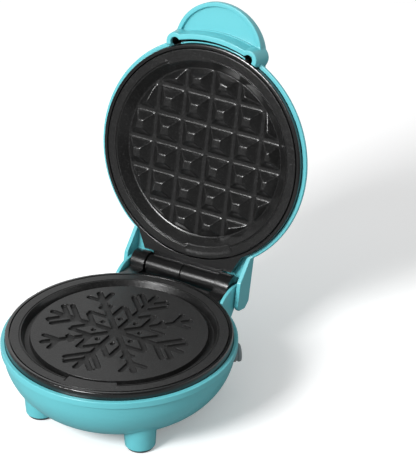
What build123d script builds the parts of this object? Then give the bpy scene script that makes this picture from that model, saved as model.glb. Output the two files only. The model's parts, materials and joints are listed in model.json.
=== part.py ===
from build123d import *

import os
from dataclasses import dataclass
from math import asin, atan2, cos, degrees, radians, sin, tan

os.makedirs("parts", exist_ok=True)

# A small electric waffle maker: a round base and a round lid, each with its own cooking plate,
# joined at the back by a pin hinge. It is modelled with the lid open against its stop.
# The table is Z = 0, +Y runs back to the hinge and the plates are centred on X = 0, Y = 0.

# Places and travel
RIM_HEIGHT = 45.0
CLOSED_GAP = 2.0
OPEN_ANGLE = 103.5
HINGE_SETBACK = 5.1
HINGE_DROP = 0.1

# Housings
LIP_RADIUS = 63.5
WALL = 2.2
LIP_STEP = 0.7
LIP_ROUND = 0.6
BASE_LIP_DEPTH = 4.0
BASE_LIP_BAND = 3.5
BASE_DRAFT = 10.0
BASE_CORNER_RADIUS = 34.0
BASE_CORNER_DEPTH = 6.0
BASE_DEPTH = 39.6
LID_LIP_DEPTH = 3.0
LID_LIP_BAND = 1.3
LID_DRAFT = 27.5
LID_CORNER_RADIUS = 18.0
LID_CORNER_DEPTH = 8.0
LID_CROWN = 1.5

# Liners, the black inner mouldings that hold the plates
LINER_EDGE_ROUND = 0.9
LINER_RING = 2.1
LEDGE_WIDTH = 3.7
LEDGE_DEPTH = 2.2
LEDGE_THICKNESS = 3.0
TRAY_INSET = 3.6
TRAY_TAPER = 3.8
TRAY_WALL = 1.6
TRAY_DEPTH = 15.4
TRAY_FLOOR = 1.4
TRAY_BORE_RADIUS = 22.0

# Cooking plates
PLATE_GAP = 0.6
FLANGE_WIDTH = 4.8
SEAL_GROOVE_WIDTH = 0.8
SEAL_GROOVE_DEPTH = 0.5
RIDGE_WIDTH = 0.1
PLATE_BODY_CLEARANCE = 0.4
LOWER_PLATE_DEPTH = 6.5
ISLAND_DEPTH = 0.9
MOAT_WIDTH = 3.2
MOAT_DEPTH = 3.9
MOAT_DRAFT_WIDTH = 0.5
MOAT_BANK = 2.0
UPPER_PLATE_DEPTH = 7.0
VALLEY_DEPTH = 4.6
BOWL_BANK = 4.8
BOWL_EDGE_WIDTH = 0.9
BOWL_EDGE_DEPTH = 4.2
TAB_ANGLE = 30.0
TAB_DEPTH = 0.5
TAB_INNER_REACH = 3.9
TAB_OUTER_REACH = 1.9
NOTCH_INNER_REACH = 1.4

# Waffle pegs of the upper plate
PEG_PITCH = 16.28
PEG_COUNT = 6
PEG_BASE = 13.9
PEG_TOP = 4.9
PEG_SHIFT = 0.8

# Snowflake engraved in the lower plate
ENGRAVING_DEPTH = 1.3
SNOWFLAKE_MARGIN = 5.4
ARM_GROOVE = 3.7
BRANCH_GROOVE = 3.2
SNOWFLAKE_X = -1.7
SNOWFLAKE_TURN = -0.6
DOT_RADIUS = 1.45
DOT_ALONG = 11.5
DOT_ASIDE = 4.7

# Feet and the screws that close the base
FOOT_X = 31.0
FRONT_FOOT_Y = -31.0
REAR_FOOT_Y = 38.0
FOOT_RADIUS = 8.1
FOOT_ROUND = 0.8
LEG_DRAFT = 4.0
LEG_HEIGHT = 24.0
PAD_RADIUS = 7.2
PAD_THICKNESS = 1.5
PAD_PLUG_LENGTH = 2.6
COUNTERBORE_RADIUS = 3.6
COUNTERBORE_DEPTH = 6.0
SCREW_RADIUS = 1.5
SCREW_HEAD_RADIUS = 2.8
SCREW_HEAD_HEIGHT = 1.8
PILLAR_RADIUS = 4.5
BOSS_RADIUS = 4.0
BOSS_LENGTH = 8.6
SCREW_BITE = 5.5

# Hinge
PIN_RADIUS = 2.0
PIN_HALF_LENGTH = 30.4
BARREL_RADIUS = 5.5
BARREL_HALF_LENGTH = 22.0
BARREL_SEAM = 0.4
KNUCKLE_RADIUS = 6.9
KNUCKLE_END = 31.0
ARM_THICKNESS = 3.6
LINK_DEPTH = 0.8
BLOCK_DEPTH = 5.2
BLOCK_EDGE_REACH = 7.2
BLOCK_EDGE_X = 27.5
BLOCK_ROOT_X = 33.0
BLOCK_ROOT_REACH = 18.6
CRADLE_REACH = 6.3

# Ears of the base and hood of the lid, which stand on each side of the hinge
EAR_INNER_X = 32.0
EAR_THICKNESS = 2.0
EAR_RISE = 3.1
EAR_FRONT_REACH = 16.0
EAR_REAR_REACH = 3.6
EAR_LOW_REACH = 6.2
EAR_LOW_DEPTH = 13.4
GUTTER_RADIUS = 8.0
GUTTER_THICKNESS = 1.8
HOOD_GAP = 0.7
HOOD_LEG_THICKNESS = 2.3
HOOD_FRONT_REACH = 17.6
HOOD_REAR_REACH = 11.7
HOOD_TAPER = 13.0
HOOD_LEG_DROP = 5.4
HOOD_TOP_DEPTH = 7.5
HOOD_CHAMFER = 3.5
HOOD_REAR_WALL_DEPTH = 2.6

# Handle, moulded with the lid: a tongue with a bar across its root and a slot behind the bar
TONGUE_INSET = 4.1
TONGUE_HALF_WIDTH = 26.5
TONGUE_REACH = 24.7
TONGUE_FACE_DEPTH = 5.5
TONGUE_RIM = 2.5
TONGUE_RECESS = 2.0
TONGUE_ROOT_DEPTH = 12.5
TONGUE_TIP_DEPTH = 9.0
BAR_GAP = 0.2
BAR_WIDTH = 3.0
BAR_DRAFT = 6.0
BAR_END_RADIUS = 5.3
BAR_FACE_RISE = 2.0
BRIDGE_DEPTH = 0.5
SLOT_INSET = 1.2
SLOT_END_X = 22.5
SLOT_DEPTH = 9.0
SLOT_END_RADIUS = 2.7

# Heating and electrical pieces
ELEMENT_INSET = 16.0
ELEMENT_RADIUS = 3.3
ELEMENT_SEAT = 0.8
ELEMENT_GAP_ANGLE = 56.0
TERMINAL_RADIUS = 1.2
TERMINAL_LENGTH = 2.0
SHIELD_THICKNESS = 0.8
SHIELD_STEP = 2.0
SHIELD_RIM_HEIGHT = 4.0
POST_INSET = 5.0
POST_RADIUS = 3.4
LID_POST_INSET = 10.0
THERMOSTAT_RADIUS = 8.5
THERMOSTAT_HEIGHT = 7.5
FUSE_RADIUS = 2.0
FUSE_LENGTH = 14.0
FUSE_Y = 15.0
GLAND_RADIUS = 5.0
GLAND_ANGLE = 40.0
GLAND_DEPTH = 21.0
GLAND_REACH_IN = 17.5
GLAND_REACH_OUT = 2.5
GLAND_LIP = 2.0
GLAND_GROOVE = 1.0
GLAND_BORE_RADIUS = 1.9
GLAND_BORE_DEPTH = 9.0
LENS_RADIUS = 3.0
LENS_INSET = 18.0
LENS_FLANGE = 1.0
LENS_SEAT_RADIUS = 5.5
LENS_SEAT_HEIGHT = 1.5
LENS_PROUD = 1.0
LAMP_RADIUS = 2.4
LAMP_LENGTH = 5.0
LEAD_RADIUS = 1.1
LEAD_BEND = 1.6
LEAD_DROP = 3.0
BLOCK_WIDTH = 26.0
BLOCK_LENGTH = 10.0
BLOCK_HEIGHT = 10.0
BLOCK_WELL_RADIUS = 1.9
BLOCK_WELL_PITCH = 8.0

# Clearances
FIT = 0.05
SEAT_GAP = 0.1
SLIP = 0.3

# Radii and places that follow from the lip of the housings, each nested in the one before
hinge_y = LIP_RADIUS + HINGE_SETBACK
liner_radius = LIP_RADIUS - WALL - SLIP
ring_bore_radius = liner_radius - LINER_RING
plate_radius = ring_bore_radius - PLATE_GAP
ledge_bore_radius = ring_bore_radius - LEDGE_WIDTH
plate_body_radius = ledge_bore_radius - PLATE_BODY_CLEARANCE
tray_radius = liner_radius - TRAY_INSET
tray_foot_radius = tray_radius - TRAY_TAPER
tray_room = tray_foot_radius - TRAY_WALL
flange_inner_radius = plate_radius - FLANGE_WIDTH
groove_inner_radius = flange_inner_radius - SEAL_GROOVE_WIDTH
ridge_radius = groove_inner_radius - RIDGE_WIDTH
moat_floor_radius = ridge_radius - MOAT_BANK
island_radius = moat_floor_radius - MOAT_WIDTH
arm_reach = island_radius - SNOWFLAKE_MARGIN
bowl_edge_radius = ridge_radius - BOWL_BANK
peg_field_radius = bowl_edge_radius - BOWL_EDGE_WIDTH
tab_inner_radius = flange_inner_radius - TAB_INNER_REACH
tab_outer_radius = flange_inner_radius + TAB_OUTER_REACH
element_ring_radius = tray_room - ELEMENT_INSET
post_ring_radius = tray_room - POST_INSET
lid_post_ring_radius = tray_room - LID_POST_INSET
shield_bore_radius = TRAY_BORE_RADIUS + SHIELD_STEP
block_edge_y = hinge_y - BLOCK_EDGE_REACH
block_root_y = hinge_y - BLOCK_ROOT_REACH
cradle_edge_y = hinge_y - CRADLE_REACH
hood_front_y = hinge_y - HOOD_FRONT_REACH
hood_rear_y = hinge_y + HOOD_REAR_REACH
tongue_centre_y = LIP_RADIUS - TONGUE_INSET
slot_inner_radius = LIP_RADIUS - SLOT_INSET
bar_inner_radius = LIP_RADIUS + BAR_GAP
bar_outer_radius = bar_inner_radius + BAR_WIDTH
slot_middle_radius = (slot_inner_radius + bar_inner_radius) / 2
gland_inner_end = LIP_RADIUS - GLAND_REACH_IN
gland_outer_end = LIP_RADIUS + GLAND_REACH_OUT

# Each half has a frame whose origin is the plate centre on its rim, with +Y to the hinge and +Z
# running down into its housing, so that a depth below the rim is a height in the frame
swing = radians(OPEN_ANGLE)
lid_rise = CLOSED_GAP + HINGE_DROP
BASE = Plane(origin=(0, 0, RIM_HEIGHT), x_dir=(-1, 0, 0), z_dir=(0, 0, -1))
LID = Plane(
    origin=(
        0,
        hinge_y - hinge_y * cos(swing) + lid_rise * sin(swing),
        RIM_HEIGHT - HINGE_DROP + hinge_y * sin(swing) + lid_rise * cos(swing),
    ),
    x_dir=(1, 0, 0),
    z_dir=(0, sin(swing), cos(swing)),
)
base_hinge_depth = HINGE_DROP
lid_hinge_depth = -lid_rise


def section(frame, turn=0.0):
    """Half-section plane of a half: across is the radius and up the sheet is the depth."""
    across = frame.x_dir * cos(radians(turn)) + frame.y_dir * sin(radians(turn))
    return Plane(origin=frame.origin, x_dir=across, z_dir=across.cross(frame.z_dir))


def side(frame):
    """Side view of a half: across runs to the hinge and up the sheet is the depth."""
    return Plane(origin=frame.origin, x_dir=frame.y_dir, z_dir=frame.x_dir)


def spin_axis(frame):
    """Axis through the middle of a half's plate."""
    return Axis(frame.origin, frame.z_dir)


@dataclass
class Shell:
    """Outline of a housing in half section."""

    lip_depth: float
    lip_band: float
    draft: float
    corner_radius: float
    corner_depth: float
    floor_depth: float
    crown: float = 0.0

    def face(self, inset=0.0, top=None):
        """Draws the half section, moved in by inset, with its mouth at the depth top."""
        band_depth = self.lip_depth + self.lip_band
        slope = radians(self.draft)
        bend_depth = self.corner_depth + self.corner_radius * sin(slope)
        wall_radius = LIP_RADIUS - LIP_STEP
        bend_radius = wall_radius - (bend_depth - band_depth) * tan(slope)
        centre_radius = bend_radius - self.corner_radius * cos(slope)
        arc_radius = self.corner_radius - inset
        floor = self.floor_depth - inset
        reach = min(1.0, (floor - self.corner_depth) / arc_radius)
        sweep = degrees(asin(reach)) - self.draft
        mouth = self.lip_depth if top is None else top
        rounding = 0.0 if inset else LIP_ROUND
        with BuildLine() as outline:
            Line((0, mouth), (LIP_RADIUS - inset - rounding, mouth))
            if rounding:
                RadiusArc(
                    (LIP_RADIUS - rounding, mouth), (LIP_RADIUS, mouth + rounding), -rounding
                )
            Polyline(
                (LIP_RADIUS - inset, mouth + rounding),
                (LIP_RADIUS - inset, band_depth),
                (wall_radius - inset / cos(slope), band_depth),
                (
                    centre_radius + arc_radius * cos(slope),
                    self.corner_depth + arc_radius * sin(slope),
                ),
            )
            corner = CenterArc(
                (centre_radius, self.corner_depth), arc_radius, self.draft, sweep
            )
            foot = corner @ 1
            if self.crown:
                crown_radius = (foot.X**2 + self.crown**2) / (2 * self.crown)
                crown_rise = (crown_radius**2 - foot.X**2 / 4) ** 0.5 - crown_radius
                ThreePointArc(
                    (foot.X, foot.Y),
                    (foot.X / 2, foot.Y + self.crown + crown_rise),
                    (0, foot.Y + self.crown),
                )
            else:
                Line((foot.X, foot.Y), (0, foot.Y))
            Line((0, foot.Y + self.crown), (0, mouth))
        make_face(outline.edges())


BASE_SHELL = Shell(
    BASE_LIP_DEPTH,
    BASE_LIP_BAND,
    BASE_DRAFT,
    BASE_CORNER_RADIUS,
    BASE_CORNER_DEPTH,
    BASE_DEPTH,
)
LID_SHELL = Shell(
    LID_LIP_DEPTH,
    LID_LIP_BAND,
    LID_DRAFT,
    LID_CORNER_RADIUS,
    LID_CORNER_DEPTH,
    LID_CORNER_DEPTH + LID_CORNER_RADIUS,
    LID_CROWN,
)

# Values that several pieces share
foot_places = {
    "front_left": (-FOOT_X, FRONT_FOOT_Y),
    "front_right": (FOOT_X, FRONT_FOOT_Y),
    "rear_left": (-FOOT_X, REAR_FOOT_Y),
    "rear_right": (FOOT_X, REAR_FOOT_Y),
}
foot_points = list(foot_places.values())
above_rim = -3 * EAR_RISE
tray_top = TRAY_DEPTH - TRAY_FLOOR
boss_end = TRAY_DEPTH + BOSS_LENGTH
pillar_top = RIM_HEIGHT - boss_end
screw_seat = PAD_THICKNESS + COUNTERBORE_DEPTH
lid_ceiling = LID_CORNER_DEPTH + LID_CORNER_RADIUS - WALL
hood_half_width = EAR_INNER_X + EAR_THICKNESS + HOOD_GAP
base_skirt = BASE_LIP_DEPTH + BASE_LIP_BAND - SLIP
lid_skirt = LID_LIP_DEPTH + LID_LIP_BAND - SLIP
lens_y = LENS_INSET - tray_room
lens_seat_depth = lid_ceiling - LENS_SEAT_HEIGHT
post_angles = (30.0, 150.0, 270.0)
lid_post_angles = (45.0, 135.0, 225.0, 315.0)
terminal_angle = ELEMENT_GAP_ANGLE / 2 + degrees(ELEMENT_RADIUS / element_ring_radius)
terminal_angles = (-90.0 - terminal_angle, terminal_angle - 90.0)
terminal_hole = TERMINAL_RADIUS + 2 * SLIP


def revolve_shell(frame, shell, inset=0.0, top=None, mode=Mode.ADD):
    """Turns a housing outline about the middle of its half."""
    with BuildSketch(section(frame)) as outline:
        shell.face(inset, top)
    revolve(outline.sketch, axis=spin_axis(frame), mode=mode)


def side_prism(frame, outline, x_from, x_to, mode=Mode.ADD):
    """Runs a side-view outline from one X to another, on the frame's own X axis."""
    with BuildSketch(side(frame).offset(x_from)) as face:
        with BuildLine():
            Polyline(*outline, close=True)
        make_face()
    extrude(face.sketch, amount=x_to - x_from, mode=mode)


def hinge_cylinder(frame, depth, radius, x_from, x_to, mode=Mode.ADD):
    """A cylinder about the hinge axis from one X to another."""
    with BuildSketch(side(frame).offset(x_from)) as disc:
        with Locations((hinge_y, depth)):
            Circle(radius)
    extrude(disc.sketch, amount=x_to - x_from, mode=mode)


def ring_points(radius, angles):
    """Points on a circle round the plate centre."""
    return [(radius * cos(radians(a)), radius * sin(radians(a))) for a in angles]


# Lower housing: the round bowl with four legs, two ears beside the hinge and a gutter under it
gland_direction = Vector(cos(radians(GLAND_ANGLE)), sin(radians(GLAND_ANGLE)), 0)
gland_height = RIM_HEIGHT - GLAND_DEPTH
ear_front = (hinge_y - EAR_FRONT_REACH, 0.0)
ear_crest = (hinge_y - EAR_REAR_REACH, -EAR_RISE)
ear_rear = (hinge_y + EAR_REAR_REACH, -EAR_RISE / 2)


def ear(x_from):
    """An upright plate beside the hinge, with a round top edge, that runs down into the bowl."""
    with BuildSketch(side(BASE).offset(x_from)) as face:
        with BuildLine():
            ThreePointArc(ear_front, ear_crest, ear_rear)
            Polyline(
                ear_rear,
                (hinge_y + EAR_REAR_REACH, base_hinge_depth),
                (hinge_y, EAR_LOW_DEPTH / 2),
                (hinge_y - EAR_LOW_REACH, EAR_LOW_DEPTH),
                (block_root_y - 2 * WALL, 2 * EAR_LOW_DEPTH),
                (block_root_y - 2 * WALL, BASE_LIP_DEPTH + BASE_LIP_BAND),
                ear_front,
            )
        make_face()
    extrude(face.sketch, amount=EAR_THICKNESS)


with BuildPart() as lower_housing:
    revolve_shell(BASE, BASE_SHELL)
    for place in foot_points:
        with BuildSketch(Plane.XY.offset(PAD_THICKNESS)):
            with Locations(place):
                Circle(FOOT_RADIUS)
        extrude(amount=LEG_HEIGHT, taper=-LEG_DRAFT)
    fillet(lower_housing.edges().filter_by(GeomType.CIRCLE).sort_by(Axis.Z)[:4], FOOT_ROUND)
    ear(EAR_INNER_X)
    ear(-EAR_INNER_X - EAR_THICKNESS)
    with BuildSketch(side(BASE).offset(-EAR_INNER_X)):
        with Locations((hinge_y, base_hinge_depth)):
            Circle(GUTTER_RADIUS + GUTTER_THICKNESS)
        with Locations((hinge_y + GUTTER_RADIUS, 0), (hinge_y, -GUTTER_RADIUS)):
            Rectangle(2 * GUTTER_RADIUS - 3, 4 * GUTTER_RADIUS, mode=Mode.SUBTRACT)
        with Locations((hinge_y, base_hinge_depth + GUTTER_RADIUS / 2 - 2 * GUTTER_RADIUS)):
            Rectangle(4 * GUTTER_RADIUS, 4 * GUTTER_RADIUS, mode=Mode.SUBTRACT)
        with Locations((hinge_y - 2 * GUTTER_RADIUS, base_hinge_depth + GUTTER_RADIUS / 2)):
            Rectangle(
                2.2 * GUTTER_RADIUS, GUTTER_THICKNESS, align=(Align.CENTER, Align.MIN)
            )
        with Locations((hinge_y, base_hinge_depth)):
            Circle(GUTTER_RADIUS, mode=Mode.SUBTRACT)
    extrude(amount=2 * EAR_INNER_X)
    revolve_shell(BASE, BASE_SHELL, WALL, above_rim, Mode.SUBTRACT)
    for place in foot_points:
        with BuildSketch(Plane.XY.offset(PAD_THICKNESS)):
            with Locations(place):
                Circle(PILLAR_RADIUS)
        extrude(amount=pillar_top - PAD_THICKNESS)
    with BuildSketch(Plane.XY.offset(PAD_THICKNESS)):
        with Locations(*foot_points):
            Circle(COUNTERBORE_RADIUS)
    extrude(amount=COUNTERBORE_DEPTH, mode=Mode.SUBTRACT)
    with BuildSketch(Plane.XY.offset(PAD_THICKNESS)):
        with Locations(*foot_points):
            Circle(SCREW_RADIUS + SLIP)
    extrude(amount=pillar_top, mode=Mode.SUBTRACT)
    with BuildSketch(
        Plane(
            origin=gland_direction * gland_inner_end + Vector(0, 0, gland_height),
            z_dir=gland_direction,
        )
    ):
        Circle(GLAND_RADIUS + SEAT_GAP)
    extrude(amount=LIP_RADIUS - gland_inner_end, mode=Mode.SUBTRACT)
lower_housing.part.label = "lower_housing"
export_step(lower_housing.part, "parts/lower_housing.step")

# Foot pads, each with a plug that fills the screw recess above it
for corner, place in foot_places.items():
    with BuildPart() as foot_pad:
        with BuildSketch():
            with Locations(place):
                Circle(PAD_RADIUS)
        extrude(amount=PAD_THICKNESS)
        with BuildSketch(Plane.XY.offset(PAD_THICKNESS)):
            with Locations(place):
                Circle(COUNTERBORE_RADIUS - SEAT_GAP)
        extrude(amount=PAD_PLUG_LENGTH)
        chamfer(foot_pad.faces().sort_by(Axis.Z)[0].edges(), PAD_THICKNESS / 3)
    foot_pad.part.label = "foot_pad_" + corner
    export_step(foot_pad.part, "parts/foot_pad_" + corner + ".step")


def liner_body(frame, skirt):
    """Ring, ledge and tray of a liner: the plate lies on the ledge, the heat shield in the tray."""
    with BuildSketch(section(frame)) as face:
        with BuildLine():
            Polyline(
                (liner_radius, LINER_EDGE_ROUND),
                (liner_radius, skirt),
                (tray_radius, skirt),
                (tray_foot_radius, TRAY_DEPTH),
                (TRAY_BORE_RADIUS, TRAY_DEPTH),
                (TRAY_BORE_RADIUS, tray_top),
                (tray_room, tray_top),
                (tray_radius - TRAY_WALL, LEDGE_DEPTH + LEDGE_THICKNESS),
                (ledge_bore_radius, LEDGE_DEPTH + LEDGE_THICKNESS),
                (ledge_bore_radius, LEDGE_DEPTH),
                (ring_bore_radius, LEDGE_DEPTH),
                (ring_bore_radius, 0),
                (liner_radius - LINER_EDGE_ROUND, 0),
            )
            RadiusArc(
                (liner_radius - LINER_EDGE_ROUND, 0),
                (liner_radius, LINER_EDGE_ROUND),
                -LINER_EDGE_ROUND,
            )
        make_face()
    revolve(face.sketch, axis=spin_axis(frame))


def bump(frame, depth, points, radius, length):
    """Round posts that start at a depth and run on down into the housing."""
    with BuildSketch(frame.offset(depth)) as discs:
        with Locations(*points):
            Circle(radius)
    extrude(discs.sketch, amount=length)


def drill(frame, depth, points, radius, length):
    """Round holes that start at a depth and run on down into the housing."""
    with BuildSketch(frame.offset(depth)) as holes:
        with Locations(*points):
            Circle(radius)
    extrude(holes.sketch, amount=length, mode=Mode.SUBTRACT)


# Lower liner, with the bosses for the housing screws and the fixed knuckles of the hinge
base_foot_points = [(-x, y) for x, y in foot_points]
knuckle_start = BARREL_HALF_LENGTH + SLIP
arm_outline = [
    (block_root_y, base_hinge_depth),
    (hinge_y, base_hinge_depth),
    (hinge_y, base_hinge_depth + ARM_THICKNESS),
    (block_root_y, base_hinge_depth + ARM_THICKNESS),
]
cradle_outline = [
    (block_root_y, BASE_LIP_DEPTH / 2),
    (cradle_edge_y, BASE_LIP_DEPTH / 2),
    (cradle_edge_y, BASE_LIP_DEPTH - SLIP),
    (block_root_y, BASE_LIP_DEPTH - SLIP),
]

with BuildPart() as lower_liner:
    side_prism(BASE, cradle_outline, -knuckle_start, knuckle_start)
    for start in (knuckle_start, -KNUCKLE_END):
        end = start + KNUCKLE_END - knuckle_start
        side_prism(BASE, arm_outline, start, end)
        hinge_cylinder(BASE, base_hinge_depth, KNUCKLE_RADIUS, start, end)
        hinge_cylinder(BASE, base_hinge_depth, PIN_RADIUS + FIT, start, end, Mode.SUBTRACT)
    with BuildSketch(BASE):
        Circle(ring_bore_radius)
    extrude(amount=base_skirt, mode=Mode.SUBTRACT)
    liner_body(BASE, base_skirt)
    with BuildSketch(BASE.offset(TRAY_DEPTH)):
        with Locations(*base_foot_points):
            Circle(BOSS_RADIUS)
    extrude(amount=BOSS_LENGTH)
    drill(BASE, boss_end - SCREW_BITE - 1, base_foot_points, SCREW_RADIUS + FIT, 2 * SCREW_BITE)
    drill(BASE, tray_top, ring_points(post_ring_radius, post_angles), SCREW_RADIUS + SLIP, TRAY_FLOOR)
    drill(BASE, tray_top, ring_points(element_ring_radius, terminal_angles), terminal_hole, TRAY_FLOOR)
lower_liner.part.label = "lower_liner"
export_step(lower_liner.part, "parts/lower_liner.step")


def plate_blank(frame, body_depth, bowl):
    """Turned form of a plate: a flange with a seal groove and ridge, then the bowl outline."""
    with BuildSketch(section(frame)) as face:
        with BuildLine():
            Polyline(
                (0, bowl[0][1]),
                *bowl,
                (ridge_radius, 0),
                (groove_inner_radius, 0),
                (groove_inner_radius, SEAL_GROOVE_DEPTH),
                (flange_inner_radius, SEAL_GROOVE_DEPTH),
                (flange_inner_radius, 0),
                (plate_radius, 0),
                (plate_radius, LEDGE_DEPTH),
                (plate_body_radius, LEDGE_DEPTH),
                (plate_body_radius, body_depth),
                (0, body_depth),
                close=True,
            )
        make_face()
    revolve(face.sketch, axis=spin_axis(frame))


def flange_notch(frame, start, inner):
    """A shallow notch along a stretch of the flange of a plate, for a lifting tool."""
    with BuildSketch(section(frame, start)) as face:
        with Locations(((inner + tab_outer_radius) / 2, 0)):
            Rectangle(tab_outer_radius - inner, 2 * TAB_DEPTH)
    revolve(
        face.sketch, axis=spin_axis(frame), revolution_arc=TAB_ANGLE, mode=Mode.SUBTRACT
    )


def plate_tab(frame, start):
    """A flat step that fills a stretch of the moat, level with the notch beside it."""
    with BuildSketch(section(frame, start)) as face:
        with BuildLine():
            Polyline(
                (tab_inner_radius, TAB_DEPTH),
                (tab_outer_radius, TAB_DEPTH),
                (tab_outer_radius, LEDGE_DEPTH),
                (plate_body_radius, LEDGE_DEPTH),
                (tab_inner_radius, MOAT_DEPTH + 1),
                close=True,
            )
        make_face()
    revolve(face.sketch, axis=spin_axis(frame), revolution_arc=TAB_ANGLE)


def plate_back(frame, body_depth):
    """Screw posts on the back of a plate, and the round seat of its heating element."""
    posts = ring_points(post_ring_radius, post_angles)
    bump(frame, body_depth, posts, POST_RADIUS, tray_top - body_depth)
    drill(frame, body_depth, posts, SCREW_RADIUS + FIT, tray_top)
    with BuildSketch(section(frame)) as seat:
        with Locations((element_ring_radius, body_depth + ELEMENT_RADIUS - ELEMENT_SEAT)):
            Circle(ELEMENT_RADIUS + SEAT_GAP)
    revolve(seat.sketch, axis=spin_axis(frame), mode=Mode.SUBTRACT)


# Snowflake: four straight arms and four diagonal ones, each with three pairs of branches
straight_pairs = [
    ((14.65, 0.0), (22.3, 7.7)),
    ((24.1, 0.0), (34.4, 10.3)),
    ((30.8, 0.0), (38.4, 7.6)),
]
diagonal_pairs = [
    ((9.9, 9.9), (22.4, 9.9)),
    ((16.4, 16.4), (19.9, 16.4)),
    ((22.3, 22.3), (31.3, 22.3)),
]


def groove(start, end, width):
    """One straight groove with round ends."""
    run = Vector(*end) - Vector(*start)
    middle = (Vector(*start) + Vector(*end)) * 0.5
    turn = degrees(atan2(run.Y, run.X))
    with Locations(Location((middle.X, middle.Y), turn)):
        SlotCenterToCenter(run.length, width)


def mirrored(point, diagonal):
    """The same point on the other side of its arm."""
    return (point[1], point[0]) if diagonal else (point[0], -point[1])


def snowflake():
    """Draws the whole engraving."""
    tip = arm_reach - ARM_GROOVE / 2
    for quarter in range(4):
        turn = 90.0 * quarter + SNOWFLAKE_TURN
        with Locations(Location((SNOWFLAKE_X, 0), turn)):
            with Locations((tip / 2, 0)):
                SlotCenterToCenter(tip, ARM_GROOVE)
            with Locations(Location((tip / 2 * cos(radians(45)), tip / 2 * sin(radians(45))), 45)):
                SlotCenterToCenter(tip, ARM_GROOVE)
            for pairs, diagonal in ((straight_pairs, False), (diagonal_pairs, True)):
                for start, end in pairs:
                    groove(start, end, BRANCH_GROOVE)
                    groove(mirrored(start, diagonal), mirrored(end, diagonal), BRANCH_GROOVE)
            with Locations((DOT_ALONG, DOT_ASIDE), (DOT_ALONG, -DOT_ASIDE)):
                Circle(DOT_RADIUS)


# Lower cooking plate: a raised round island engraved with the snowflake, inside a moat
island_outline = [
    (island_radius, ISLAND_DEPTH),
    (island_radius + MOAT_DRAFT_WIDTH, MOAT_DEPTH),
    (moat_floor_radius, MOAT_DEPTH),
]

with BuildPart() as lower_cook_plate:
    plate_blank(BASE, LOWER_PLATE_DEPTH, island_outline)
    flange_notch(BASE, -120.0, tab_inner_radius)
    plate_tab(BASE, -120.0)
    plate_back(BASE, LOWER_PLATE_DEPTH)
    with BuildSketch(Plane.XY.offset(RIM_HEIGHT - ISLAND_DEPTH)):
        snowflake()
    extrude(amount=-ENGRAVING_DEPTH, mode=Mode.SUBTRACT)
lower_cook_plate.part.label = "lower_cook_plate"
export_step(lower_cook_plate.part, "parts/lower_cook_plate.step")

# Upper cooking plate: a grid of tapered pegs in a shallow bowl, cut off by the bowl's slope
peg_slope = (PEG_BASE - PEG_TOP) / 2 / VALLEY_DEPTH
peg_taper = degrees(atan2(peg_slope, 1.0))
bowl_outline = [
    (peg_field_radius, VALLEY_DEPTH),
    (bowl_edge_radius, BOWL_EDGE_DEPTH),
]

with BuildPart(mode=Mode.PRIVATE) as peg_field:
    with BuildSketch(section(LID)):
        with BuildLine():
            Polyline(
                (0, 0),
                (peg_field_radius - peg_slope * VALLEY_DEPTH, 0),
                (peg_field_radius, VALLEY_DEPTH),
                (0, VALLEY_DEPTH),
                close=True,
            )
        make_face()
    revolve(axis=spin_axis(LID))
    with BuildSketch(LID.offset(VALLEY_DEPTH)):
        with Locations((PEG_SHIFT, 0)):
            with GridLocations(PEG_PITCH, PEG_PITCH, PEG_COUNT, PEG_COUNT):
                Rectangle(PEG_BASE, PEG_BASE)
    extrude(amount=-VALLEY_DEPTH, taper=peg_taper, mode=Mode.INTERSECT)

with BuildPart() as upper_cook_plate:
    plate_blank(LID, UPPER_PLATE_DEPTH, bowl_outline)
    flange_notch(LID, 62.0, flange_inner_radius - NOTCH_INNER_REACH)
    flange_notch(LID, -120.0, flange_inner_radius - NOTCH_INNER_REACH)
    plate_back(LID, UPPER_PLATE_DEPTH)
    add(peg_field.part)
upper_cook_plate.part.label = "upper_cook_plate"
export_step(upper_cook_plate.part, "parts/upper_cook_plate.step")

# Upper liner, with the block behind the plate that carries the two turning halves of the hinge barrel
block_outline = [
    (-BLOCK_ROOT_X, block_root_y),
    (-BLOCK_EDGE_X, block_edge_y),
    (BLOCK_EDGE_X, block_edge_y),
    (BLOCK_ROOT_X, block_root_y),
]
link_outline = [
    (block_root_y, LINK_DEPTH),
    (hinge_y, LINK_DEPTH),
    (hinge_y, lid_hinge_depth + BARREL_RADIUS),
    (block_root_y, lid_hinge_depth + BARREL_RADIUS),
]

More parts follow.
